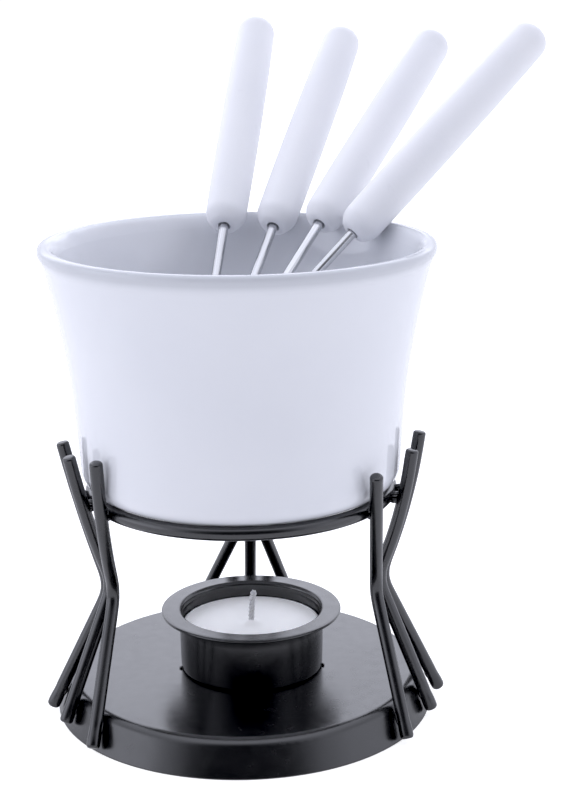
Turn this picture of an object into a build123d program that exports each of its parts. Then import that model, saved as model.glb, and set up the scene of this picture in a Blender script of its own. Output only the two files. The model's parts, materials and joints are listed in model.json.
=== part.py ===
"""Fondue pot set: a wire-legged candle stand, a porcelain pot that rests on
its ring, a tealight in a cup, and four long forks leaning in the pot.

Millimetres, +Z up.  The origin is the centre of the stand on the table plane,
and the front of the set faces -Y.  In names, _r is a radius, _h a height,
_t a thickness and _z a height above the table.
"""
from build123d import *
import os
from math import cos, radians, sin

os.makedirs("parts", exist_ok=True)


def save(part, name):
    """Label a piece and write its STEP file."""
    part.label = name
    export_step(part, f"parts/{name}.step")


def circles(part, test):
    """Circular edges of a builder's part that pass the test."""
    return part.edges().filter_by(GeomType.CIRCLE).filter_by(test)


# ---------------------------------------------------------------- base plate
# an inverted shallow pan pressed from sheet
base_rim_r = 50.8          # outer radius of the skirt on the table
base_top_r = 47.2          # where the skirt line meets the top, before rounding
base_top_z = 9.2           # height of the flat top
base_sheet = 0.9           # sheet thickness
base_edge_r = 3.0          # outer rounding of the top edge
skirt_level_t = base_sheet * 1.075     # sheet thickness measured level at the skirt
top_corner_in = base_sheet * 0.68      # inner top corner, inward from the outer one
rim_round = 0.3            # rounding of the base rim and of the cup flange


def build_base_plate():
    ceiling_z = base_top_z - base_sheet
    with BuildPart() as plate:
        with BuildSketch(Plane.XZ):
            with BuildLine():
                Polyline((0, base_top_z), (base_top_r, base_top_z), (base_rim_r, 0),
                         (base_rim_r - skirt_level_t, 0),
                         (base_top_r - top_corner_in, ceiling_z),
                         (0, ceiling_z), (0, base_top_z))
            make_face()
        revolve(axis=Axis.Z)
        fillet(plate.edges().filter_by(GeomType.CIRCLE).group_by(Axis.Z)[-1], base_edge_r)
        fillet(circles(plate, lambda edge: abs(edge.center().Z - ceiling_z) < 0.01),
               base_edge_r - base_sheet)
        fillet(plate.edges().filter_by(GeomType.CIRCLE).group_by(Axis.Z)[0], rim_round)
    return plate.part


save(build_base_plate(), "base_plate")

# ---------------------------------------------------------------- candle cup
# a spun cup with an out-turned flange, welded to the base
cup_x = 2.1                # the cup sits a little to the right of the axis
cup_wall_r = 19.45         # outer radius of the wall
cup_flange_r = 24.3
cup_flange_t = 0.9
cup_top_z = 25.8           # top of the flange
cup_mouth_r = 18.78        # inside radius at the mouth
cup_mouth_round = 1.15     # rounding from the flange into the mouth
cup_bore_r = 18.95         # inside radius below the step
cup_step_depths = (1.75, 2.0)          # ends of the step, below the flange top
cup_floor_t = 0.7
cup_floor_z = base_top_z + cup_floor_t
cup_floor_r = cup_bore_r - 0.9         # flat part of the floor inside
cup_weld_r = 1.0           # weld spots at the foot of the cup
cup_weld_out = 0.1         # their centres, outside the wall
cup_weld_up = 0.35         # their centres, above the base
cup_weld_az = (90.0, 186.0, 354.0)
cup_plane = Plane(origin=(cup_x, 0, 0), x_dir=(1, 0, 0), z_dir=(0, -1, 0))
cup_axis = Axis((cup_x, 0, 0), (0, 0, 1))


def build_candle_cup():
    under = cup_top_z - cup_flange_t
    round_start = (cup_mouth_r + cup_mouth_round, cup_top_z)
    round_end = (cup_mouth_r, cup_top_z - cup_mouth_round)
    weld_centre_r = cup_wall_r + cup_weld_out
    with BuildPart() as cup:
        with BuildSketch(cup_plane):
            with BuildLine():
                # outside, from the foot up to the flange
                Polyline((0, base_top_z), (cup_wall_r - 1.2, base_top_z),
                         (cup_wall_r - 0.25, base_top_z + 1.0), (cup_wall_r, under - 1.0),
                         (cup_wall_r + 0.9, under), (cup_flange_r, under),
                         (cup_flange_r, cup_top_z), round_start)
                RadiusArc(round_start, round_end, -cup_mouth_round)
                # inside, down to the floor
                Polyline(round_end, (cup_mouth_r, cup_top_z - cup_step_depths[0]),
                         (cup_bore_r, cup_top_z - cup_step_depths[1]),
                         (cup_bore_r - 0.2, cup_floor_z + 0.8), (cup_floor_r, cup_floor_z),
                         (0, cup_floor_z), (0, base_top_z))
            make_face()
        revolve(axis=cup_axis)
        fillet(circles(cup, lambda edge: abs(edge.radius - cup_flange_r) < 0.01), rim_round)
        with Locations(*[(cup_x + weld_centre_r * cos(radians(azimuth)),
                          weld_centre_r * sin(radians(azimuth)),
                          base_top_z + cup_weld_up) for azimuth in cup_weld_az]):
            Sphere(cup_weld_r)
        # weld spots stop at the base and stay out of the bore
        split(bisect_by=Plane.XY.offset(base_top_z), keep=Keep.TOP)
        with BuildSketch(Plane.XY.offset(cup_floor_z)):
            with Locations((cup_x, 0)):
                Circle(cup_floor_r)
        extrude(amount=2, mode=Mode.SUBTRACT)
    return cup.part


save(build_candle_cup(), "candle_cup")

# -------------------------------------------------------------- support ring
ring_r = 39.46             # centre-line radius
ring_z = 60.37             # height of the centre line
ring_wire_r = 1.83


def build_ring(wire_radius):
    with BuildPart() as ring:
        with BuildSketch(Plane.XZ):
            with Locations((ring_r, ring_z)):
                Circle(wire_radius)
        revolve(axis=Axis.Z)
    return ring.part


save(build_ring(ring_wire_r), "support_ring")

# ----------------------------------------------------------------- leg wires
wire_r = 1.62
wire_end_round = 0.6
wire_half_waist = 2.1      # half of the upright length at the waist
wire_turn = 1.9            # distance from each corner at which its rounding starts
wire_curl_h = 4            # height above the waist at which the upper curve's tangent is taken
wire_tip_drop = 1.1        # end of the upper curve, below the listed tip height
wire_tip_len = 1.2         # straight length beyond the upper curve
weld_fit = 0.02            # clearance of a weld lump to the piece it joins
weld_ring = (1.25, 3.2)    # lump between a wire and the ring: radius, reach
weld_skirt = (1.2, 3.4)    # lump between a wire's foot and the skirt: radius, reach
weld_skirt_z = 6.3

# Azimuth and waist radius of each group of three wires.
left, right, rear = (197.31, 36.67), (340.56, 38.13), (86.34, 36.22)
# Every wire: group, waist shift and waist height, then the direction it leaves
# the waist upward and downward (degrees from the group azimuth), the slope
# below, the slope and curl above, and the heights of foot and tip.
# A shift is measured tangentially, counter-clockwise.
wires = {
    "left_outer":  (*left, -3.07, 35.89, -19.36, -12.28, 0.4992, 0.3385, -0.00152, 2.33, 75.43),
    "left_mid":    (*left, 0.16, 37.31, 23.17, 25.52, 0.5110, 0.4265, -0.00267, 3.27, 74.51),
    "left_front":  (*left, 3.51, 36.24, 64.20, 59.95, 0.6942, 0.6641, -0.00734, 2.52, 75.75),
    "right_front": (*right, -3.66, 37.42, -75.40, -48.19, 0.5376, 0.5746, -0.00249, 1.69, 72.04),
    "right_mid":   (*right, 0.22, 38.54, 9.38, 5.97, 0.4101, 0.4297, -0.00500, 1.86, 73.70),
    "right_outer": (*right, 3.49, 38.21, 41.03, 45.86, 0.5268, 0.4845, -0.00486, 1.85, 76.20),
    "rear_left":   (*rear, 3.36, 38.30, 45.44, 50.01, 0.5909, 0.5098, -0.00342, 2.30, 77.50),
    "rear_mid":    (*rear, -0.04, 38.14, 4.27, 4.64, 0.4826, 0.4560, -0.00422, 2.30, 77.50),
    "rear_right":  (*rear, -3.32, 38.25, -35.17, -35.08, 0.5203, 0.4798, -0.00386, 2.30, 77.50),
}


def polar(azimuth, radial, shift, z):
    """A point given by its group azimuth, radius, tangential shift, height."""
    angle = radians(azimuth)
    return Vector(radial * cos(angle) - shift * sin(angle),
                  radial * sin(angle) + shift * cos(angle), z)


def corner(before, at, after):
    """Start, middle and end of the arc that rounds the corner 'at'."""
    back = (before - at).normalized()
    ahead = (after - at).normalized()
    half = radians(back.get_angle(ahead) / 2)
    radius = wire_turn * sin(half) / cos(half)
    middle = at + (back + ahead).normalized() * (radius / sin(half) - radius)
    return at + back * wire_turn, middle, at + ahead * wire_turn


def lean(azimuth, slope):
    """Direction of a wire that leans by 'slope' toward 'azimuth' for 1 mm up."""
    return Vector(slope * cos(radians(azimuth)), slope * sin(radians(azimuth)), 1)


def build_skirt_room():
    """The base plate's outer shape, filled and enlarged by the weld clearance."""
    with BuildPart() as room:
        with BuildSketch(Plane.XZ):
            Polygon((0, -1), (base_rim_r + 0.42, -1), (base_rim_r + 0.022, 0),
                    (base_top_r + weld_fit, base_top_z + weld_fit),
                    (0, base_top_z + weld_fit), align=None)
        revolve(axis=Axis.Z)
        fillet(room.edges().filter_by(GeomType.CIRCLE).group_by(Axis.Z)[-1], base_edge_r)
    return room.part


def build_leg(azimuth, waist_r, shift, waist_z, up_dir, low_dir, low_slope, up_slope, up_curl,
              foot_z, tip_z):
    low_bend = polar(azimuth, waist_r, shift, waist_z - wire_half_waist)
    top_bend = polar(azimuth, waist_r, shift, waist_z + wire_half_waist)
    rise = tip_z - wire_tip_drop - top_bend.Z
    foot = low_bend + lean(azimuth + low_dir, -low_slope) * (foot_z - low_bend.Z)
    tip = top_bend + lean(azimuth + up_dir, up_slope + up_curl * (rise + wire_curl_h)) * rise
    leave = lean(azimuth + up_dir, up_slope + 2 * wire_curl_h * up_curl)
    low_start, low_mid, low_end = corner(foot, low_bend, top_bend)
    top_start, top_mid, top_end = corner(low_bend, top_bend, top_bend + leave * 10)
    with BuildPart() as leg:
        with BuildLine() as path:
            Line(foot, low_start)
            ThreePointArc(low_start, low_mid, low_end)
            Line(low_end, top_start)
            ThreePointArc(top_start, top_mid, top_end)
            upper = TangentArc(top_end, tip, tangent=leave)
            Line(tip, tip + (upper % 1) * wire_tip_len)
        with BuildSketch(Plane(origin=foot, z_dir=low_start - foot)):
            Circle(wire_r)
        sweep(path=path.line)
        ends = leg.edges().filter_by(GeomType.CIRCLE).sort_by(Axis.Z)
        fillet([ends[0], ends[-1]], wire_end_round)
        # weld metal to the ring and to the skirt, reaching toward the axis
        at_ring = upper.intersect(Plane.XY.offset(ring_z))
        # the crossing may come back as a point or as shapes
        at_ring = Vector(at_ring if isinstance(at_ring, Vector) else at_ring.vertices()[0])
        at_skirt = foot + (low_start - foot) * ((weld_skirt_z - foot.Z) / (low_start.Z - foot.Z))
        for at, (lump_r, reach) in ((at_ring, weld_ring), (at_skirt, weld_skirt)):
            outward = Vector(at.X, at.Y, 0).normalized()
            with BuildSketch(Plane(origin=at, z_dir=-outward)):
                Circle(lump_r)
            extrude(amount=reach)
        add(ring_room, mode=Mode.SUBTRACT)
        add(skirt_room, mode=Mode.SUBTRACT)
    return leg.part


# keep-out solids for the weld lumps: the ring and the skirt, a hair larger
ring_room = build_ring(ring_wire_r + weld_fit)
skirt_room = build_skirt_room()
for name, wire in wires.items():
    save(build_leg(*wire), f"leg_{name}")

# ------------------------------------------------------------------ tealight
tin_r = 18.6
tin_t = 0.18               # foil thickness
tin_floor_z = cup_floor_z + 0.05
tin_top_z = 21.55
tin_taper = 0.15           # the wall is this much narrower just above the foot
tin_foot_h = 1.0           # height of the slanted foot
tin_foot_in = 0.95         # its width, inside the foil
sustainer_r = 6.0
sustainer_t = 0.3
collar_r = 1.5             # collar around the wick
collar_h = 2.6
disc_z = tin_floor_z + tin_t + 0.02    # underside of the sustainer and the wax
disc_top_z = disc_z + sustainer_t
wax_top_z = 21.3
wax_gap = 0.03             # clearance around the wax
wick_r = 0.85
wick_foot_z = disc_top_z + 0.02
wick_bend_z = wax_top_z + 0.2
wick_top_z = 29.6
wick_lean = 0.75           # sideways lean of the wick's top


def build_tealight_tin():
    inner_r = tin_r - tin_t
    with BuildPart() as tin:
        with BuildSketch(cup_plane):
            with BuildLine():
                Polyline((0, tin_floor_z), (tin_r - 1.0, tin_floor_z),
                         (tin_r - tin_taper, tin_floor_z + tin_foot_h), (tin_r, tin_top_z),
                         (inner_r, tin_top_z), (inner_r - tin_taper, tin_floor_z + tin_foot_h),
                         (inner_r - tin_foot_in, tin_floor_z + tin_t),
                         (0, tin_floor_z + tin_t), (0, tin_floor_z))
            make_face()
        revolve(axis=cup_axis)
    return tin.part


def build_wick_sustainer():
    with BuildPart() as sustainer:
        with BuildSketch(Plane.XY.offset(disc_z)):
            with Locations((cup_x, 0)):
                Circle(sustainer_r)
        extrude(amount=sustainer_t)
        with BuildSketch(Plane.XY.offset(disc_top_z)):
            with Locations((cup_x, 0)):
                Circle(collar_r)
        extrude(amount=collar_h)
        with BuildSketch(Plane.XY.offset(disc_top_z)):
            with Locations((cup_x, 0)):
                Circle(wick_r + 0.02)
        extrude(amount=3, mode=Mode.SUBTRACT)
    return sustainer.part


def build_wick():
    bend = (cup_x, 0, wick_bend_z)
    with BuildPart() as wick:
        with BuildLine() as path:
            Line((cup_x, 0, wick_foot_z), bend)
            TangentArc(bend, (cup_x + wick_lean, 0, wick_top_z), tangent=(0, 0, 1))
        with BuildSketch(Plane.XY.offset(wick_foot_z)):
            with Locations((cup_x, 0)):
                Circle(wick_r)
        sweep(path=path.line)
    return wick.part


def build_wax():
    """Wax that fills the tin and leaves room for sustainer and wick."""
    wax_r = tin_r - tin_t - wax_gap
    wick_hole_r = wick_r + wax_gap
    disc_hole_r = sustainer_r + wax_gap
    collar_hole_r = collar_r + wax_gap
    collar_hole_z = disc_top_z + collar_h + 0.04
    outer_top = (wax_r, wax_top_z + 0.1)
    wick_top = (wick_hole_r, wax_top_z + 0.55)     # wax climbs a little at the wick
    with BuildPart() as wax:
        with BuildSketch(cup_plane):
            with BuildLine():
                Polyline((disc_hole_r, disc_z), (wax_r - tin_foot_in, disc_z),
                         (wax_r - tin_taper, tin_floor_z + tin_foot_h), outer_top)
                Spline(outer_top, (wax_r - 0.7, wax_top_z - 0.08),
                       (wax_r * 0.5, wax_top_z - 0.12), (3.0, wax_top_z), wick_top)
                Polyline(wick_top, (wick_hole_r, collar_hole_z), (collar_hole_r, collar_hole_z),
                         (collar_hole_r, disc_top_z + wax_gap),
                         (disc_hole_r, disc_top_z + wax_gap), (disc_hole_r, disc_z))
            make_face()
        revolve(axis=cup_axis)
        with BuildSketch(Plane.XY.offset(wick_foot_z)):
            with Locations((cup_x, 0)):
                Circle(wick_hole_r)
        extrude(amount=20, mode=Mode.SUBTRACT)
    return wax.part


save(build_tealight_tin(), "tealight_tin")
save(build_wick_sustainer(), "wick_sustainer")
save(build_wick(), "wick")
save(build_wax(), "wax")

# ----------------------------------------------------------------------- pot
pot_foot_z = 61.45
pot_foot_r = 36.0
pot_recess_r = 30.5        # shallow recess inside the foot
pot_recess_h = 0.8
pot_floor_z = 66.0
pot_wall_t = 3.9           # measured level
# outlines as (radius, height)
pot_outer = [(42.15, 67.0), (42.98, 79.4), (43.95, 90.2), (45.55, 100.9),
             (47.62, 111.5), (49.35, 119.0), (49.98, 121.5)]     # foot to just under the lip
pot_foot_mid = (pot_foot_r + 4.42, pot_foot_z + 1.83)            # on the arc above the foot
pot_lip = (51.2, 124.55)   # widest point of the lip
pot_under_lip = (pot_lip[0] - 0.62, pot_lip[1] - 1.55)
pot_top = (49.65, 126.25)  # highest point
pot_lip_in = [(47.55, 125.0), (46.4, 122.4)]                     # soft inner rounding
pot_inner = [(r - pot_wall_t, z) for r, z in pot_outer[1:-1]]
pot_bowl_arc = [(38.75, 74.0), (36.4, 68.4), (30.8, pot_floor_z)]    # inner wall to floor


def build_pot():
    recess_z = pot_foot_z + pot_recess_h
    foot_edge = (pot_foot_r, pot_foot_z)
    with BuildPart() as pot:
        with BuildSketch(Plane.XZ):
            with BuildLine():
                Polyline((0, recess_z), (pot_recess_r - 0.6, recess_z),
                         (pot_recess_r + 0.4, pot_foot_z), foot_edge)
                ThreePointArc(foot_edge, pot_foot_mid, pot_outer[0])
                Spline(*pot_outer)
                Spline(pot_outer[-1], pot_under_lip, pot_lip, tangents=[(0.30, 1.0), (0.0, 1.0)])
                Spline(pot_lip, pot_top, tangents=[(0, 1), (-1, 0)])
                Spline(pot_top, *pot_lip_in, tangents=[(-1, 0), (-0.32, -1)])
                Spline(pot_lip_in[-1], *reversed(pot_inner), pot_bowl_arc[0])
                ThreePointArc(*pot_bowl_arc)
                Polyline(pot_bowl_arc[-1], (0, pot_floor_z), (0, recess_z))
            make_face()
        revolve(axis=Axis.Z)
    return pot.part


save(build_pot(), "pot")

# --------------------------------------------------------------------- forks
handle_len = 80.4
handle_low_r = 5.68        # radius beside the lower rounded end
handle_mid_r = 5.95
handle_end_r = 5.55        # radius beside the upper rounded end
handle_dome = 4.8          # height of the rounded ends
handle_low_tangent = (0.02, 1)
handle_end_tangent = (-0.025, 1)
socket_r = 1.75            # mouth of the shaft hole
socket_depth = 1.6
socket_taper = 0.25        # the hole's mouth narrows by this much
socket_lip = 0.5           # flat ring around the mouth
shaft_r = 1.3
shaft_fit = 0.01
shaft_in_handle = 28.0
fork_reach = 87.6          # handle end to tine tips
tine_len = 19.0
head_w = 4.7
head_t = 1.5
tine_slot = 1.7
neck_len = 7.0
head_y = -(fork_reach - tine_len)      # along the fork, where the head is full width
neck_y = head_y + neck_len             # where the shaft starts to flatten
# Each fork: lower end centre of the handle and the direction the handle points.
seats = {
    1: ((-3.641, 37.238, 124.064), (0.13574, 0.74290, 0.65550)),
    2: ((9.909, 35.277, 124.040), (0.29375, 0.73143, 0.61540)),
    3: ((22.416, 29.739, 125.469), (0.46816, 0.65934, 0.58830)),
    4: ((30.946, 20.554, 124.289), (0.66855, 0.37604, 0.64158)),
}


def build_fork_handle(profile, across, fork_axis):
    mouth_edge = (socket_r + socket_lip, 0)
    low_shoulder = (handle_low_r, handle_dome)
    end_shoulder = (handle_end_r, handle_len - handle_dome)
    with BuildPart() as handle:
        with BuildSketch(profile):
            with BuildLine():
                Polyline((0, socket_depth), (socket_r - socket_taper, socket_depth),
                         (socket_r, 0), mouth_edge)
                Spline(mouth_edge, (handle_low_r - 1.35, 1.15), low_shoulder,
                       tangents=[(1, 0), handle_low_tangent])
                Spline(low_shoulder, (handle_mid_r, handle_len * 0.5), end_shoulder,
                       tangents=[handle_low_tangent, handle_end_tangent])
                Spline(end_shoulder, (handle_end_r - 1.5, handle_len - 1.25), (0, handle_len),
                       tangents=[handle_end_tangent, (-1, 0)])
                Line((0, handle_len), (0, socket_depth))
            make_face()
        revolve(axis=fork_axis)
        with BuildSketch(across):
            Circle(shaft_r + shaft_fit)
        extrude(amount=shaft_in_handle + 0.1, mode=Mode.SUBTRACT)
    return handle.part


def build_fork_steel(profile, across):
    # one tine, from the head's outer corner around the tip to the slot
    tine = [(head_w / 2, head_y), (head_w / 2 - 0.15, -(fork_reach - 3.6)),
            (tine_slot / 2 + 0.45, -fork_reach), (tine_slot / 2 + 0.15, -(fork_reach - 0.4)),
            (tine_slot / 2, head_y - 3.2)]
    mirrored = [(-x, y) for x, y in reversed(tine)]
    with BuildPart() as steel:
        with BuildSketch(across.offset(neck_y)):
            Circle(shaft_r)
        extrude(amount=shaft_in_handle - neck_y)
        # flattened neck
        with BuildSketch(across.offset(neck_y)):
            Circle(shaft_r)
        with BuildSketch(across.offset(head_y)):
            RectangleRounded(head_w, head_t, head_t * 0.49)
        loft()
        # head with two pointed tines
        with BuildSketch(profile):
            with BuildLine():
                Polyline(mirrored[-1], *tine, (0, head_y - 2.0), *mirrored)
            make_face()
        extrude(amount=head_t / 2, both=True)
    return steel.part


for i, (seat, direction) in seats.items():
    along = Vector(*direction).normalized()
    level = Vector(0, 0, 1).cross(along).normalized()      # horizontal, across the fork
    # local Y of the profile plane runs up the handle
    profile = Plane(origin=seat, x_dir=level, z_dir=level.cross(along))
    across = Plane(origin=seat, x_dir=level, z_dir=along)
    save(build_fork_handle(profile, across, Axis(seat, along)), f"fork_{i}_handle")
    save(build_fork_steel(profile, across), f"fork_{i}_steel")
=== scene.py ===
"""A glazed pot with its forks over a tealight, on a black wire stand.

Metres, +Z up. The pot and the stand's ring are centred on the Z axis, and the camera
looks from the front (-Y) towards the back (+Y), with +X on its right.
"""
import json
import math

import bmesh
import bpy
import numpy as np
from mathutils import Matrix, Vector, noise

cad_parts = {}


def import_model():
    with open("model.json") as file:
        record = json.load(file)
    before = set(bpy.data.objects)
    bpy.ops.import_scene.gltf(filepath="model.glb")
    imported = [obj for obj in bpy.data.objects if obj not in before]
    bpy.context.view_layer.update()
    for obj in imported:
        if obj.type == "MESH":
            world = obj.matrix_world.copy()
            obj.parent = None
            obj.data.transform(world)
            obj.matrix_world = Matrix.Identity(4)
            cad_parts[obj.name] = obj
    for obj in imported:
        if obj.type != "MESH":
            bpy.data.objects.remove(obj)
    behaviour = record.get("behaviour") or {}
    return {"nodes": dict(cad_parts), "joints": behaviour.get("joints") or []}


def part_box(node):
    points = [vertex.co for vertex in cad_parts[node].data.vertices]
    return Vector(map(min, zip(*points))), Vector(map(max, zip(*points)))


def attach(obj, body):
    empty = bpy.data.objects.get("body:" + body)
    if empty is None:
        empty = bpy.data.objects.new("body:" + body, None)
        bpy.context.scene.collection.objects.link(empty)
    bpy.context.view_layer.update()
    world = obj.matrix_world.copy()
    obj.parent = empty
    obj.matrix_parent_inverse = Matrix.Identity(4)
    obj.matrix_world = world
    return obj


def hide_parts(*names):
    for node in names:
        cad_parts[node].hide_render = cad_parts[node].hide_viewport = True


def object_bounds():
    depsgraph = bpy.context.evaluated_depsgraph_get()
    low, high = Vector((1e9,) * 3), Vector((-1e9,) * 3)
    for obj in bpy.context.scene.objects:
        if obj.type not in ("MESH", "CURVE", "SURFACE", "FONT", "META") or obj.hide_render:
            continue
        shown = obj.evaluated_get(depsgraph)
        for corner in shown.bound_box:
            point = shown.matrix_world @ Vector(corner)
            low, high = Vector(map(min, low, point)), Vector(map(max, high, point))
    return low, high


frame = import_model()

cad_lo, cad_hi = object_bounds()
nodes = frame["nodes"]
MM = 0.001


# ---------------------------------------------------------------- node tools
class Nodes:
    """Short calls that add shader nodes to an emptied node tree."""

    def __init__(self, tree):
        self.tree = tree
        tree.nodes.clear()

    def fill(self, node, inputs):
        """Link or set inputs; colours are given as three numbers."""
        for key, value in inputs.items():
            socket = node.inputs[key]
            if isinstance(value, bpy.types.NodeSocket):
                self.tree.links.new(value, socket)
            elif socket.type == "RGBA":
                socket.default_value = (*value, 1)
            else:
                socket.default_value = value

    def add(self, kind, inputs=None, **settings):
        node = self.tree.nodes.new("ShaderNode" + kind)
        for key, value in settings.items():
            setattr(node, key, value)
        self.fill(node, inputs or {})
        return node

    def mix(self, factor, first, second):
        # A Mix node in colour mode takes its colours at inputs 6 and 7.
        return self.add("Mix", {0: factor, 6: first, 7: second}, data_type="RGBA").outputs[2]

    def remap(self, value, source=(0.3, 0.7), target=(0.0, 1.0), **settings):
        """Carry the source range to the target range, clamped."""
        return self.add("MapRange", {
            "From Min": source[0], "From Max": source[1],
            "To Min": target[0], "To Max": target[1], "Value": value,
        }, **settings).outputs["Result"]


class Surface(Nodes):
    """A procedural material in object space."""

    def __init__(self, name):
        self.material = bpy.data.materials.new(name)
        self.material.use_nodes = True
        super().__init__(self.material.node_tree)
        output = self.add("OutputMaterial")
        self.bsdf = self.add("BsdfPrincipled")
        self.fill(output, {0: self.bsdf.outputs[0]})
        self.place = self.add("TexCoord").outputs["Object"]

    def noise(self, scale, detail=3, roughness=0.5, vector=None):
        return self.add("TexNoise", {
            "Scale": scale, "Detail": detail, "Roughness": roughness,
            "Vector": vector or self.place,
        }).outputs["Fac"]

    def cells(self, scale):
        """Distance to the nearest point of a random scatter."""
        node = self.add("TexVoronoi", {"Scale": scale, "Vector": self.place})
        return node.outputs["Distance"]

    def mapping(self, scale=(1, 1, 1), rotation=(0, 0, 0), vector=None):
        return self.add("Mapping", {
            "Scale": scale, "Rotation": rotation, "Vector": vector or self.place,
        }).outputs["Vector"]

    def ramp(self, factor, low, high):
        """A colour ramp from low at 0.3 to high at 0.7."""
        node = self.add("ValToRGB", {"Fac": factor})
        for stop, position, colour in zip(node.color_ramp.elements, (0.3, 0.7), (low, high)):
            stop.position = position
            stop.color = (*colour, 1)
        return node.outputs["Color"]

    def calc(self, operation, first, second, clamp=False):
        return self.add("Math", {0: first, 1: second},
                        operation=operation, use_clamp=clamp).outputs[0]

    def bump(self, height, strength, distance, under=None):
        """Relief, laid over another bump where one is given."""
        inputs = {"Strength": strength, "Distance": distance, "Height": height}
        if under is not None:
            inputs["Normal"] = under
        return self.add("Bump", inputs).outputs["Normal"]

    def finish(self, inputs):
        self.fill(self.bsdf, inputs)
        return self.material


# ----------------------------------------------------------------- materials
def black_coat():
    """Satin black coating: fine orange peel, patches of sheen, dust, rubbed edges."""
    s = Surface("black_satin_coat")
    grain = s.noise(scale=1500, detail=3, roughness=0.6)
    patch = s.noise(scale=45, detail=4, roughness=0.55)
    fine = s.noise(scale=320, detail=2)
    base = s.ramp(patch, low=(0.0014, 0.0015, 0.0018), high=(0.0030, 0.0031, 0.0036))
    edge = s.remap(s.add("NewGeometry").outputs["Pointiness"],
                   source=(0.53, 0.62), target=(0.0, 0.35))
    wear = s.calc("MULTIPLY", edge, s.remap(fine, source=(0.4, 0.65), target=(0.2, 1.0)))
    base = s.mix(wear, base, (0.022, 0.023, 0.026))
    dust = s.remap(s.cells(scale=900), source=(0.0, 0.055), target=(1.0, 0.0))
    drift = s.remap(s.noise(scale=70, detail=2), source=(0.62, 0.76), target=(0.0, 0.05))
    dust = s.calc("MULTIPLY", dust, drift, clamp=True)
    base = s.mix(dust, base, (0.05, 0.052, 0.056))
    rough = s.remap(patch, source=(0.25, 0.75), target=(0.20, 0.27))
    rough = s.calc("ADD", rough, s.remap(fine, target=(-0.025, 0.035)))
    rough = s.calc("ADD", rough, s.calc("MULTIPLY", dust, 0.3))
    peel = s.bump(grain, strength=0.09, distance=0.00005)
    peel = s.bump(fine, strength=0.05, distance=0.00008, under=peel)
    return s.finish({"Base Color": base, "Roughness": rough, "Normal": peel,
                     "IOR": 1.78, "Specular IOR Level": 0.5})


def porcelain():
    """White glaze, faintly mottled and pitted, greyer below the rim with painted shade, bare
    at the foot.
    """
    s = Surface("white_glazed_porcelain")
    pot_lo, pot_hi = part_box("pot")
    cloud = s.noise(scale=28)
    fine = s.noise(scale=260, detail=2)
    pits = s.remap(s.cells(scale=420), source=(0.0, 0.035), target=(1.0, 0.0))
    pitted = s.remap(s.noise(scale=38, detail=2), source=(0.60, 0.70))
    pits = s.calc("MULTIPLY", pits, pitted, clamp=True)
    base = s.ramp(cloud, low=(0.770, 0.782, 0.815), high=(0.800, 0.810, 0.838))
    base = s.mix(pits, base, (0.60, 0.58, 0.55))

    # Painted shade: the outer wall grows darker over a band at the rim, standing in for the
    # shade at the lip.
    x, y, z = s.add("SeparateXYZ", {0: s.place}).outputs
    radius_squared = s.calc("ADD", s.calc("MULTIPLY", x, x), s.calc("MULTIPLY", y, y))
    outside = s.remap(radius_squared,
                      source=((pot_hi.x - 0.0031) ** 2, (pot_hi.x - 0.0024) ** 2))
    rise = s.remap(z, source=(pot_hi.z - 0.0052, pot_hi.z - 0.0026))
    painted_rim_shade = s.calc("MULTIPLY", s.calc("POWER", rise, 1.6), outside, clamp=True)
    # Mix in the painted shade's grey at the rim.
    base = s.mix(painted_rim_shade, base, (0.600, 0.614, 0.646))

    foot = s.remap(z, source=(pot_lo.z + 0.00015, pot_lo.z + 0.00045), target=(1.0, 0.0))
    bare = s.calc("MULTIPLY", foot, 1.0, clamp=True)
    biscuit = s.ramp(s.noise(scale=900, detail=4, roughness=0.7),
                     low=(0.70, 0.67, 0.62), high=(0.80, 0.78, 0.74))
    base = s.mix(bare, base, biscuit)
    rough = s.remap(cloud, target=(0.018, 0.040))
    rough = s.calc("ADD", rough, s.calc("MULTIPLY", bare, 0.5))
    relief = s.bump(s.noise(scale=55, detail=2, roughness=0.4), strength=0.10, distance=0.0005)
    relief = s.bump(fine, strength=0.05, distance=0.00012, under=relief)
    relief = s.bump(s.calc("MULTIPLY", pits, -1.0), strength=0.25, distance=0.00008,
                    under=relief)
    return s.finish({"Base Color": base, "Roughness": rough, "Normal": relief,
                     "IOR": 1.50, "Specular IOR Level": 0.5, "Subsurface Weight": 0.06,
                     "Subsurface Radius": (0.9, 0.85, 0.8), "Subsurface Scale": 0.0012})


def handle_plastic():
    """White moulded plastic: fine texture, satin sheen, slight shade changes."""
    s = Surface("white_moulded_plastic")
    fine = s.noise(scale=2600, detail=2, roughness=0.6)
    middle = s.noise(scale=240)
    tone = s.noise(scale=32)
    base = s.ramp(tone, low=(0.83, 0.835, 0.86), high=(0.87, 0.872, 0.89))
    scratches = s.noise(scale=180, detail=5, roughness=0.65,
                        vector=s.mapping(scale=(1, 1, 0.25)))
    scuff = s.remap(scratches, source=(0.66, 0.74), target=(0.0, 0.25))
    base = s.mix(scuff, base, (0.70, 0.70, 0.72))
    rough = s.remap(middle, target=(0.40, 0.50))
    rough = s.calc("ADD", rough, s.calc("MULTIPLY", scuff, 0.3))
    relief = s.bump(fine, strength=0.10, distance=0.00006)
    relief = s.bump(middle, strength=0.05, distance=0.0002, under=relief)
    return s.finish({"Base Color": base, "Roughness": rough, "Normal": relief,
                     "IOR": 1.34, "Subsurface Weight": 0.08,
                     "Subsurface Radius": (1.0, 0.95, 0.9), "Subsurface Scale": 0.0015})


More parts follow.
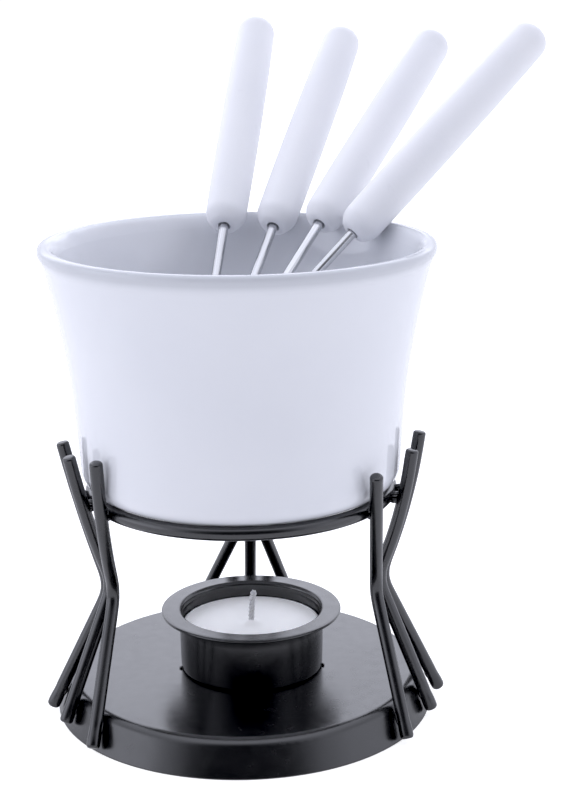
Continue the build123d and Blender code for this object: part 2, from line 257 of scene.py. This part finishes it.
def fork_steel(direction):
    """Bright stainless steel, with fine drawing marks along the shaft's direction."""
    s = Surface("bright_drawn_steel")
    turn = Vector((0, 0, 1)).rotation_difference(Vector(direction)).inverted().to_euler()
    along = s.mapping(rotation=(turn.x, turn.y, turn.z))
    streak = s.noise(scale=900, detail=4, roughness=0.6,
                     vector=s.mapping(scale=(1, 1, 0.02), vector=along))
    smear = s.noise(scale=120)
    base = s.ramp(streak, low=(0.50, 0.505, 0.52), high=(0.70, 0.705, 0.72))
    rough = s.remap(smear, target=(0.13, 0.24))
    rough = s.calc("ADD", rough, s.remap(streak, target=(-0.03, 0.05)))
    relief = s.bump(streak, strength=0.18, distance=0.00004)
    return s.finish({"Base Color": base, "Roughness": rough, "Metallic": 1.0,
                     "Normal": relief})


def tin_foil():
    """Thin drawn aluminium with fine pressing marks."""
    s = Surface("thin_aluminium")
    marks = s.noise(scale=800, detail=4, roughness=0.6, vector=s.mapping(scale=(1, 1, 0.08)))
    patch = s.noise(scale=90)
    base = s.ramp(marks, low=(0.60, 0.605, 0.615), high=(0.76, 0.762, 0.77))
    rough = s.remap(patch, target=(0.22, 0.38))
    relief = s.bump(marks, strength=0.2, distance=0.00005)
    return s.finish({"Base Color": base, "Roughness": rough, "Metallic": 1.0,
                     "Normal": relief})


def candle_wax():
    """White paraffin: waxy depth, faint crystal mottling, a slight glow of painted light."""
    s = Surface("white_paraffin")
    mottle = s.noise(scale=420, detail=5, roughness=0.65)
    cloud = s.noise(scale=60)
    crystals = s.cells(scale=650)
    base = s.ramp(cloud, low=(0.93, 0.93, 0.935), high=(0.97, 0.97, 0.972))
    base = s.mix(s.remap(mottle, source=(0.45, 0.7), target=(0.0, 0.35)), base,
                 (0.97, 0.97, 0.972))
    rough = s.remap(mottle, target=(0.36, 0.5))
    relief = s.bump(crystals, strength=0.10, distance=0.00012)
    relief = s.bump(mottle, strength=0.12, distance=0.0001, under=relief)
    # The emission is painted light: a faint glow in place of the light that reaches the wax
    # under the pot.
    return s.finish({"Base Color": base, "Roughness": rough, "Normal": relief,
                     "IOR": 1.44, "Subsurface Weight": 0.35,
                     "Subsurface Radius": (1.0, 0.97, 0.92), "Subsurface Scale": 0.003,
                     "Emission Strength": 0.16, "Emission Color": (0.93, 0.95, 1.0)})


def wick_cotton():
    """White waxed cotton braid."""
    s = Surface("waxed_cotton_braid")
    fibre = s.noise(scale=2600, detail=4, roughness=0.7, vector=s.mapping(scale=(1, 1, 0.15)))
    tone = s.noise(scale=500)
    base = s.ramp(fibre, low=(0.72, 0.72, 0.735), high=(0.90, 0.90, 0.905))
    base = s.mix(s.remap(tone, source=(0.4, 0.7), target=(0.0, 0.4)), base,
                 (0.83, 0.825, 0.81))
    relief = s.bump(fibre, strength=0.5, distance=0.0001)
    return s.finish({"Base Color": base, "Roughness": 0.7, "Normal": relief,
                     "Subsurface Weight": 0.1, "Subsurface Radius": (1, 0.95, 0.9),
                     "Subsurface Scale": 0.001, "Sheen Weight": 0.15})


coat = black_coat()
glaze = porcelain()
plastic = handle_plastic()
foil = tin_foil()
paraffin = candle_wax()
cotton = wick_cotton()

MATERIALS = {"tealight_tin": foil, "wick_sustainer": foil, "wax": paraffin,
             "wick": cotton, "pot": glaze}


def material_for(name):
    """The material of a CAD piece; each fork's steel follows that fork's own axis."""
    if name.endswith("_handle"):
        return plastic
    if name.endswith("_steel"):
        joint = f"fork_{name.split('_')[1]}_lift"
        return fork_steel(next(j["axis"] for j in frame["joints"] if j["name"] == joint))
    return MATERIALS.get(name, coat)


for name, obj in nodes.items():
    material = material_for(name)
    obj.data.materials.clear()
    obj.data.materials.append(material)


# ---------------------------------------------------------------- mesh tools
def new_object(name, verts, faces, material, body):
    mesh = bpy.data.meshes.new(name)
    mesh.from_pydata([tuple(v) for v in verts], [], faces)
    mesh.update()
    mesh.polygons.foreach_set("use_smooth", [True] * len(mesh.polygons))
    mesh.materials.append(material)
    obj = bpy.data.objects.new(name, mesh)
    bpy.context.scene.collection.objects.link(obj)
    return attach(obj, body)


def swap_in(obj, piece):
    """Let a built object stand in for a CAD piece."""
    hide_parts(piece)


def section(piece, z):
    """Centre of a CAD piece's cross-section at height z."""
    bm = bmesh.new()
    bm.from_mesh(nodes[piece].data)
    geom = bm.verts[:] + bm.edges[:] + bm.faces[:]
    cut = bmesh.ops.bisect_plane(bm, geom=geom, plane_co=(0, 0, z), plane_no=(0, 0, 1))
    points = np.array([v.co[:] for v in cut["geom_cut"] if isinstance(v, bmesh.types.BMVert)])
    bm.free()
    return Vector((points.min(0) + points.max(0)) / 2)


def lathe(name, centre, rows, steps, material, body, wobble):
    """A turned body from rows of (radius, height); a row of radius 0 is a single point.

    wobble(angle, row number, radius, height) gives each point's final radius and height.
    """
    verts, faces, rings = [], [], []
    for i, (radius, height) in enumerate(rows):
        if radius < 1e-9:
            rings.append([len(verts)])
            verts.append(Vector((centre[0], centre[1], height)))
            continue
        rings.append(range(len(verts), len(verts) + steps))
        for j in range(steps):
            angle = 2 * math.pi * j / steps
            r, z = wobble(angle, i, radius, height)
            verts.append(Vector((centre[0] + r * math.cos(angle),
                                 centre[1] + r * math.sin(angle), z)))
    for near, far in zip(rings, rings[1:]):
        for j in range(steps):
            k = (j + 1) % steps
            if len(near) == 1:
                faces.append((near[0], far[k], far[j]))
            elif len(far) == 1:
                faces.append((near[j], near[k], far[0]))
            else:
                faces.append((near[j], near[k], far[k], far[j]))
    return new_object(name, verts, faces, material, body)


def arc(x, z, radius, start, end, count):
    """Points on a circular arc about (x, z), angles in degrees."""
    angles = [math.radians(start + (end - start) * i / count) for i in range(count + 1)]
    return [(x + radius * math.cos(a), z + radius * math.sin(a)) for a in angles]


def placed(radius, height, unit, points):
    """Outline points measured in a unit from a given radius and height."""
    return [(radius + x * unit, height + z * unit) for x, z in points]


def box_centre(lo, hi):
    return (lo.x + hi.x) / 2, (lo.y + hi.y) / 2


# ----------------------------------------- candle cup: spun, with a rolled mouth
lo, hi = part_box("candle_cup")
cup_centre = box_centre(lo, hi)
cup_low, cup_top = lo.z, hi.z
flange_radius = (hi.x - lo.x) / 2
cup_unit = flange_radius / 24.3  # the flange is 24.3 units in radius
cup_wall = 19.45 * cup_unit

# (radius, height) in cup units: up the outside, round the flange, down the bore.
cup_rows = [(0, cup_low)]
cup_rows += placed(cup_wall, cup_low, cup_unit, [
    (-1.15, 0), *arc(-1.2, 1.0, radius=1.0, start=-85, end=0, count=6),
    (-0.12, 4), (-0.08, 8), (-0.04, 12)])
cup_rows += placed(cup_wall, cup_top, cup_unit, [
    (0, -2.1), (0.12, -1.6), (0.4, -1.15), (0.95, -0.92), (2.5, -0.9)])
cup_rows += placed(flange_radius, cup_top, cup_unit, [
    (-0.45, -0.88), *arc(-0.4, -0.44, radius=0.4, start=-90, end=90, count=8),
    (-1.4, -0.05), (-2.8, -0.06)])
cup_rows += placed(0, cup_top, cup_unit, [
    (20.6, -0.02), *arc(19.93, -1.15, radius=1.15, start=78, end=180, count=9),
    (18.78, -1.7), (18.83, -1.9), (18.97, -2.05), (18.93, -4.2), (18.90, -4.5),
    (18.97, -4.8)])
cup_rows += placed(0, cup_low, cup_unit, [(18.8, 1.7), (18.1, 0.72), (0, 0.7)])


def cup_wobble(angle, row, r, z):
    x, y = math.cos(angle), math.sin(angle)
    broad = noise.noise(Vector((x * 2.2, y * 2.2, z * 160)))
    fine = noise.noise(Vector((x * 9, y * 9, z * 500 + 7)))
    lift = broad * 0.02 * MM if z > cup_low + 2 * MM else 0
    return r + (broad * 0.045 + fine * 0.012) * MM, z + lift


swap_in(lathe("candle_cup_spun", cup_centre, cup_rows, 160, coat, "stand", cup_wobble),
        "candle_cup")

# ------------------------------------------ legs: round wire with rounded ends
ring_lo, ring_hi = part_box("support_ring")
ring_z = (ring_lo.z + ring_hi.z) / 2
ring_tube = (ring_hi.z - ring_lo.z) / 2
ring_out = (ring_hi.x - ring_lo.x) / 2
ring_middle = ring_out - ring_tube
legs = sorted(name for name in nodes if name.startswith("leg_"))
WIRE_RADIUS = 1.70 * MM
WIRE_STEP = 0.8 * MM
WIRE_SIDES = 24
END_ROUNDING = 0.75 * MM


def centre_line(leg):
    """Points down the middle of a leg, skipping the heights where its welds sit."""
    lo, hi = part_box(leg)
    heights = [*np.arange(lo.z + 7.6 * MM, ring_z - 2 * MM, 1.1 * MM),
               *np.arange(ring_z + 1.9 * MM, hi.z - 2.6 * MM, 1.3 * MM)]
    middle = [section(leg, float(z)) for z in heights]
    first, last = middle[0], middle[-1]
    down = (first - middle[8]).normalized()
    foot = first + down * ((lo.z + 0.45 * MM - first.z) / down.z)
    rise = (last - middle[-4]).normalized()
    tip = last + rise * ((hi.z - 0.35 * MM - last.z) / rise.z)
    start = [foot.lerp(first, t)
             for t in (0, 0.03, 0.07, 0.13, 0.2, 0.3, 0.4, 0.5, 0.6, 0.75, 0.9)]
    end = [last.lerp(tip, t) for t in (0.25, 0.5, 0.7, 0.85, 1)]
    line = np.array([point[:] for point in start + middle + end])
    for _ in range(2):  # smooth
        line[1:-1] = line[1:-1] * 0.5 + (line[:-2] + line[2:]) * 0.25
    return line


def resample(line, step):
    """Evenly spaced points on a polyline, and their distances along it."""
    lengths = np.linalg.norm(np.diff(line, axis=0), axis=1)
    along = np.r_[0, np.cumsum(lengths)]
    even = np.linspace(0, along[-1], int(along[-1] / step) + 1)
    return np.stack([np.interp(even, along, line[:, i]) for i in range(3)], 1), even


def wire_radius(distance):
    """A little swollen near the foot, then a slight neck."""
    swell = 0.055 * math.exp(-((distance - 2.0 * MM) / (1.5 * MM)) ** 2)
    neck = 0.03 * math.exp(-((distance - 5.2 * MM) / (1.0 * MM)) ** 2)
    return WIRE_RADIUS * (1 + swell - neck)


def leg_wire(name, line, seed):
    points, distances = resample(line, WIRE_STEP)
    last = len(points) - 1
    # Stations are (point, share of the end rounding passed); 1 is the full section.
    shares = (0.0, 0.12, 0.3, 0.55, 0.8)
    stations = [(0, share) for share in shares]
    stations += [(i, 1.0) for i in range(1, last)]
    stations += [(last, share) for share in reversed(shares)]
    verts, faces, rows = [], [], []
    tangent = Vector(points[1] - points[0]).normalized()
    normal = tangent.orthogonal().normalized()
    for i, share in stations:
        ahead = Vector(points[min(i + 1, last)] - points[max(i - 1, 0)]).normalized()
        normal = (tangent.rotation_difference(ahead) @ normal).normalized()
        tangent = ahead
        side = tangent.cross(normal)
        radius = wire_radius(distances[i])
        centre = Vector(points[i])
        if share < 1:
            radius += END_ROUNDING * (math.sqrt(max(0, 1 - (1 - share) ** 2)) - 1)
            centre += tangent * (END_ROUNDING * share * (1 if i == 0 else -1))
        rows.append(len(verts))
        for k in range(WIRE_SIDES):
            angle = 2 * math.pi * k / WIRE_SIDES
            x, y = math.cos(angle), math.sin(angle)
            uneven = noise.noise(Vector((distances[i] * 300 + seed, x, y)))
            r = radius * (1 + 0.008 * uneven)
            verts.append(centre + normal * (r * x) + side * (r * y))
    turns = [(k, (k + 1) % WIRE_SIDES) for k in range(WIRE_SIDES)]
    for near, far in zip(rows, rows[1:]):
        faces += [(near + k, near + m, far + m, far + k) for k, m in turns]
    for row in (rows[0], rows[-1]):
        cap = len(verts)
        verts.append(sum(verts[row:row + WIRE_SIDES], Vector()) / WIRE_SIDES)
        for k, m in turns:
            faces.append((cap, row + m, row + k) if row == 0 else (cap, row + k, row + m))
    return new_object(name, verts, faces, coat, "stand")


for i, leg in enumerate(legs):
    swap_in(leg_wire(f"wire_{leg}", centre_line(leg), seed=i * 7.0), leg)


# ------------------------- ring: a wire bent to a circle, with a faint seam
def ring_wobble(angle, row, r, z):
    seam = math.exp(-((angle - 1.9) / 0.02) ** 2)
    uneven = noise.noise(Vector((math.cos(angle) * 4, math.sin(angle) * 4, row * 0.3)))
    k = 1 + 0.03 * seam + 0.006 * uneven
    return ring_middle + (r - ring_middle) * k, ring_z + (z - ring_z) * k


ring_rows = arc(ring_middle, ring_z, radius=ring_tube, start=-180, end=180, count=32)
swap_in(lathe("ring_wire", (0, 0), ring_rows, 240, coat, "stand", ring_wobble),
        "support_ring")


# --------------------------------------------------------------- weld beads
def weld_bead(name, centre, half_sizes, axis, seed, lumpiness=0.05):
    """A lumpy ellipsoid of weld metal; its third half size lies along the axis."""
    bm = bmesh.new()
    bmesh.ops.create_icosphere(bm, subdivisions=3, radius=1.0)
    turn = Vector((0, 0, 1)).rotation_difference(Vector(axis))
    verts = []
    for v in bm.verts:
        broad = noise.noise(v.co * 1.7 + Vector((seed, seed * 0.37, 0)))
        fine = noise.noise(v.co * 4.5 + Vector((0, seed, seed * 0.7)))
        point = v.co * (1 + lumpiness * (1.6 * broad + 0.6 * fine))
        point = Vector([c * size for c, size in zip(point, half_sizes)])
        verts.append(centre + turn @ point)
    faces = [[v.index for v in f.verts] for f in bm.faces]
    bm.free()
    new_object(name, verts, faces, coat, "stand")


def ring_welds(i, leg):
    """Two beads, one over the other, between the ring and a leg."""
    centre = (section(leg, ring_z + 2.4 * MM) + section(leg, ring_z - 2.4 * MM)) / 2
    flat = Vector((centre.x, centre.y, 0))
    gap = flat.length - WIRE_RADIUS - ring_out
    for j, rise in enumerate((0.75, -0.75)):
        at = flat.normalized() * (ring_out + gap / 2) + Vector((0, 0, ring_z + rise * MM))
        weld_bead(f"weld_ring_{leg}_{j}", at, (1.0 * MM + gap * 0.6, 1.0 * MM, 0.85 * MM),
                  (0, 0, 1), seed=i * 3.1 + j)


def skirt_welds(i, leg):
    """Two long beads side by side on the inner side of a leg's foot."""
    upper, lower = section(leg, 8.3 * MM), section(leg, 3.9 * MM)
    run = (upper - lower).normalized()
    centre = upper.lerp(lower, 0.45)
    out = Vector((centre.x, centre.y, 0)).normalized()
    side = Vector((-out.y, out.x, 0))
    for j, s in enumerate((-1, 1)):
        at = centre - out * 1.35 * MM + side * (s * 0.75 * MM) + run * (0.2 * s * MM)
        half_length = (1.7 + 0.25 * math.sin(i * 2.3 + j)) * MM
        weld_bead(f"weld_skirt_{leg}_{j}", at, (0.55 * MM, 0.6 * MM, half_length), run,
                  seed=i * 5.3 + j * 2.2)


for i, leg in enumerate(legs):
    ring_welds(i, leg)
    skirt_welds(i, leg)

# Small spots round the cup's foot, at angles from +X in degrees.
for i, degrees in enumerate((90, 187, 353)):
    angle = math.radians(degrees)
    reach = cup_wall + 0.05 * MM
    at = Vector((cup_centre[0] + reach * math.cos(angle),
                 cup_centre[1] + reach * math.sin(angle), cup_low + 0.25 * MM))
    weld_bead(f"weld_cup_{i}", at, (0.42 * MM, 0.7 * MM, 0.34 * MM), (0, 0, 1),
              seed=40 + i * 3, lumpiness=0.16)

# --------------- wax: a poured top with a mound at the wick and a low meniscus
lo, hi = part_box("wax")
wax_centre, wax_radius, wax_low = box_centre(lo, hi), (hi.x - lo.x) / 2, lo.z
wax_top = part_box("tealight_tin")[1].z - 0.30 * MM


def wax_height(r):
    share = r / wax_radius
    mound = math.exp(-(r / (2.3 * MM)) ** 2)
    meniscus = 0.18 * share ** 14
    dip = 0.10 * math.sin(math.pi * share)
    return wax_top + (mound + meniscus - dip) * MM


def wax_wobble(angle, row, r, z):
    if z < wax_top - 1.0 * MM:
        return r, z
    p = Vector((r * math.cos(angle), r * math.sin(angle), 0)) * 170
    ripple = noise.noise(p) * 0.055 + noise.noise(p * 3.3 + Vector((9, 2, 0))) * 0.018
    return r, z + ripple * MM * min(1, (wax_radius - r) / (2 * MM) + 0.1)


# (radius, height) in mm from the wax's edge: the side, then 41 rows over the top.
wax_rows = [(0, wax_low)]
wax_rows += placed(wax_radius, wax_low, MM, [(-1.1, 0), (-0.5, 0.9), (-0.4, 4)])
wax_rows += placed(wax_radius, wax_top, MM, [(-0.35, -2.2), (-0.05, -1.2), (0, -0.2)])
for i in range(41):
    r = wax_radius * (1 - i / 40)
    wax_rows.append((max(r - 0.02 * MM, 0), wax_height(r)))
swap_in(lathe("wax_poured", wax_centre, wax_rows, 96, paraffin, "tealight", wax_wobble),
        "wax")

# ------------------------------------------ tin: ribbed foil with a rolled rim
lo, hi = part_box("tealight_tin")
tin_radius, tin_low, tin_top = (hi.x - lo.x) / 2, lo.z, hi.z
TIN_RIBS = 60

# (radius, height) in mm: out under the base, up the outside, back down the inside.
tin_rows = placed(0, tin_low, MM, [(0, 0.25), (11, 0.25), (11.6, 0.02)])
tin_rows += placed(tin_radius, tin_low, MM, [
    (-1.1, 0), *arc(-1.1, 0.9, radius=0.9, start=-80, end=-8, count=6), (-0.12, 1.6),
    *[(-0.10 + 0.05 * k / 8, 1.6 + k * 0.95) for k in range(1, 9)]])
tin_rows += placed(tin_radius, tin_top, MM, [
    (0, -0.35), (0.02, -0.15), (-0.05, 0), (-0.17, -0.02), (-0.2, -0.3), (-0.22, -1.5)])
tin_rows += placed(tin_radius, tin_low, MM, [(-0.35, 1.6), (-1.2, 0.3)])
tin_rows += [(0, tin_low + 0.43 * MM)]


def tin_wobble(angle, row, r, z):
    """Ribs on the wall, fading out over 1 mm at both ends."""
    above = z - tin_low - 1.4 * MM
    below = tin_top - 0.8 * MM - z
    if r > tin_radius - 0.25 * MM and above > 0 and below > 0:
        fade = min(1, above / MM, below / MM)
        r -= 0.13 * MM * fade * (0.5 - 0.5 * math.cos(TIN_RIBS * angle))
    return r, z


swap_in(lathe("tin_ribbed", wax_centre, tin_rows, 480, foil, "tealight", tin_wobble),
        "tealight_tin")

# ------------------------------------------- wick: a braid of three strands
wick_lo, wick_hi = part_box("wick")
WICK_STEPS, WICK_SIDES, WICK_STRANDS, WICK_TURNS = 60, 8, 3, 6.0


def wick_centre(t):
    """A point on the wick's axis, t from 0 at its foot to 1 just above the CAD tip."""
    inside = min(max(t, 0.01), 0.985)
    centre = section("wick", wick_lo.z + (wick_hi.z - wick_lo.z) * inside)
    centre.z = wick_lo.z + (wick_hi.z + 0.7 * MM - wick_lo.z) * t
    return centre


def wick_braid():
    path = [wick_centre(i / WICK_STEPS) for i in range(WICK_STEPS + 1)]
    verts, faces = [], []
    for s in range(WICK_STRANDS):
        base = len(verts)
        for i, middle in enumerate(path):
            turn = 2 * math.pi * (i / WICK_STEPS * WICK_TURNS + s / WICK_STRANDS)
            taper = min(1.0, (WICK_STEPS - i) / 2.5 + 0.25, i / 1.5 + 0.4)
            centre = middle + Vector((0.47 * MM * math.cos(turn),
                                      0.36 * MM * math.sin(turn), 0))
            uneven = noise.noise(Vector((i * 0.7, s * 5.0, 0)))
            radius = (0.46 + 0.03 * uneven) * MM * taper
            for k in range(WICK_SIDES):
                angle = 2 * math.pi * k / WICK_SIDES
                verts.append(centre + Vector((radius * math.cos(angle),
                                              radius * math.sin(angle), 0)))
        for i in range(WICK_STEPS):
            row = base + i * WICK_SIDES
            for k in range(WICK_SIDES):
                near, far = row + k, row + (k + 1) % WICK_SIDES
                faces.append((near, far, far + WICK_SIDES, near + WICK_SIDES))
        top = base + WICK_STEPS * WICK_SIDES
        faces.append(tuple(base + k for k in reversed(range(WICK_SIDES))))
        faces.append(tuple(top + k for k in range(WICK_SIDES)))
    return new_object("wick_braid", verts, faces, cotton, "tealight")


swap_in(wick_braid(), "wick")

# -------------------------------------------------------------------- studio
# Brightness: overhead, all round, the panel low at the back, the strips low at the
# sides, and the dark gap behind the camera.
TOP, SIDE, BACK, STRIP, GAP = 1.58, 1.12, 2.3, 1.7, 0.08
COOL_WHITE = (0.865, 0.885, 1.0)


def world():
    """A cool-white studio that the camera itself sees as pure white."""
    studio = bpy.data.worlds.new("studio")
    bpy.context.scene.world = studio
    studio.use_nodes = True
    n = Nodes(studio.node_tree)
    output = n.add("OutputWorld")
    direction = n.add("TexCoord").outputs["Generated"]

    def cool(brightness):
        return tuple(c * brightness for c in COOL_WHITE)

    def patch(sky, towards, outer, inner, brightness):
        """A round patch that fades in between two angles (degrees) off its centre."""
        facing = n.add("VectorMath", {1: Vector(towards).normalized(), 0: direction},
                       operation="DOT_PRODUCT").outputs["Value"]
        edges = [math.cos(math.radians(angle)) for angle in (outer, inner)]
        fade = n.remap(facing, source=edges, interpolation_type="SMOOTHSTEP")
        return n.mix(fade, sky, cool(brightness))

    sky = patch(cool(SIDE), (0, 0.1, 1), outer=50, inner=25, brightness=TOP)
    for degrees in (-28, 28, 0):  # three patches make the panel at the back
        turn = math.radians(degrees)
        sky = patch(sky, (math.sin(turn), math.cos(turn), 0.577), outer=23, inner=11,
                    brightness=BACK)
    sky = patch(sky, (-1, -0.22, 0.20), outer=28, inner=15, brightness=STRIP * 1.2)
    sky = patch(sky, (1, -0.22, 0.20), outer=24, inner=13, brightness=STRIP * 0.85)
    sky = patch(sky, (0, -0.955, 0.30), outer=50, inner=20, brightness=GAP)
    lit = n.add("Background", {"Color": sky})
    seen = n.add("Background", {"Color": (1, 1, 1), "Strength": 1.05})
    from_camera = n.add("LightPath").outputs["Is Camera Ray"]
    pick = n.add("MixShader", {0: from_camera, 1: lit.outputs[0], 2: seen.outputs[0]})
    n.fill(output, {0: pick.outputs[0]})


def floor():
    """A pale floor just under the stand, glowing more to the camera than to the pieces."""
    half = 6.0
    mesh = bpy.data.meshes.new("floor")
    corners = [(-half, -half, 0), (half, -half, 0), (half, half, 0), (-half, half, 0)]
    mesh.from_pydata(corners, [], [(0, 1, 2, 3)])
    obj = bpy.data.objects.new("floor", mesh)
    bpy.context.scene.collection.objects.link(obj)
    obj.location.z = cad_lo.z - 0.00005
    material = bpy.data.materials.new("pale_floor")
    material.use_nodes = True
    tree = material.node_tree
    inputs = tree.nodes["Principled BSDF"].inputs
    inputs["Base Color"].default_value = (0.66, 0.66, 0.68, 1)
    inputs["Roughness"].default_value = 0.8
    inputs["Specular IOR Level"].default_value = 0.1
    inputs["Emission Color"].default_value = (1, 1, 1, 1)
    path = tree.nodes.new("ShaderNodeLightPath")
    glow = tree.nodes.new("ShaderNodeMath")
    glow.operation = "MULTIPLY_ADD"
    glow.inputs[1].default_value = 0.42  # extra glow for the camera
    glow.inputs[2].default_value = 0.32  # glow for every ray
    tree.links.new(path.outputs["Is Camera Ray"], glow.inputs[0])
    tree.links.new(glow.outputs[0], inputs["Emission Strength"])
    mesh.materials.append(material)


def camera():
    """In front of the pot, looking down at it."""
    # Radians: downwards, towards +X, and about the line of sight.
    pitch, yaw, roll = 0.256421, 0.032425, -0.008232
    forward = Vector((math.sin(yaw) * math.cos(pitch), math.cos(yaw) * math.cos(pitch),
                      -math.sin(pitch)))
    level = Vector((math.cos(yaw), -math.sin(yaw), 0))
    upright = level.cross(forward)
    right = level * math.cos(roll) + upright * math.sin(roll)
    up = upright * math.cos(roll) - level * math.sin(roll)
    data = bpy.data.cameras.new("camera")
    obj = bpy.data.objects.new("camera", data)
    bpy.context.scene.collection.objects.link(obj)
    data.sensor_width = 36.0
    data.lens = 76.6485
    data.clip_start = 0.01
    data.clip_end = 50
    turn = Matrix((right, up, -forward)).transposed().to_4x4()
    obj.matrix_world = Matrix.Translation((0, -0.43345, 0.19724)) @ turn
    bpy.context.scene.camera = obj


def view():
    """Plain colours, with the black point raised a little."""
    settings = bpy.context.scene.view_settings
    settings.view_transform = "Standard"
    settings.look = "None"
    settings.use_curve_mapping = True
    settings.curve_mapping.black_level = (0.006, 0.006, 0.006)
    settings.curve_mapping.update()


world()
floor()
camera()
view()
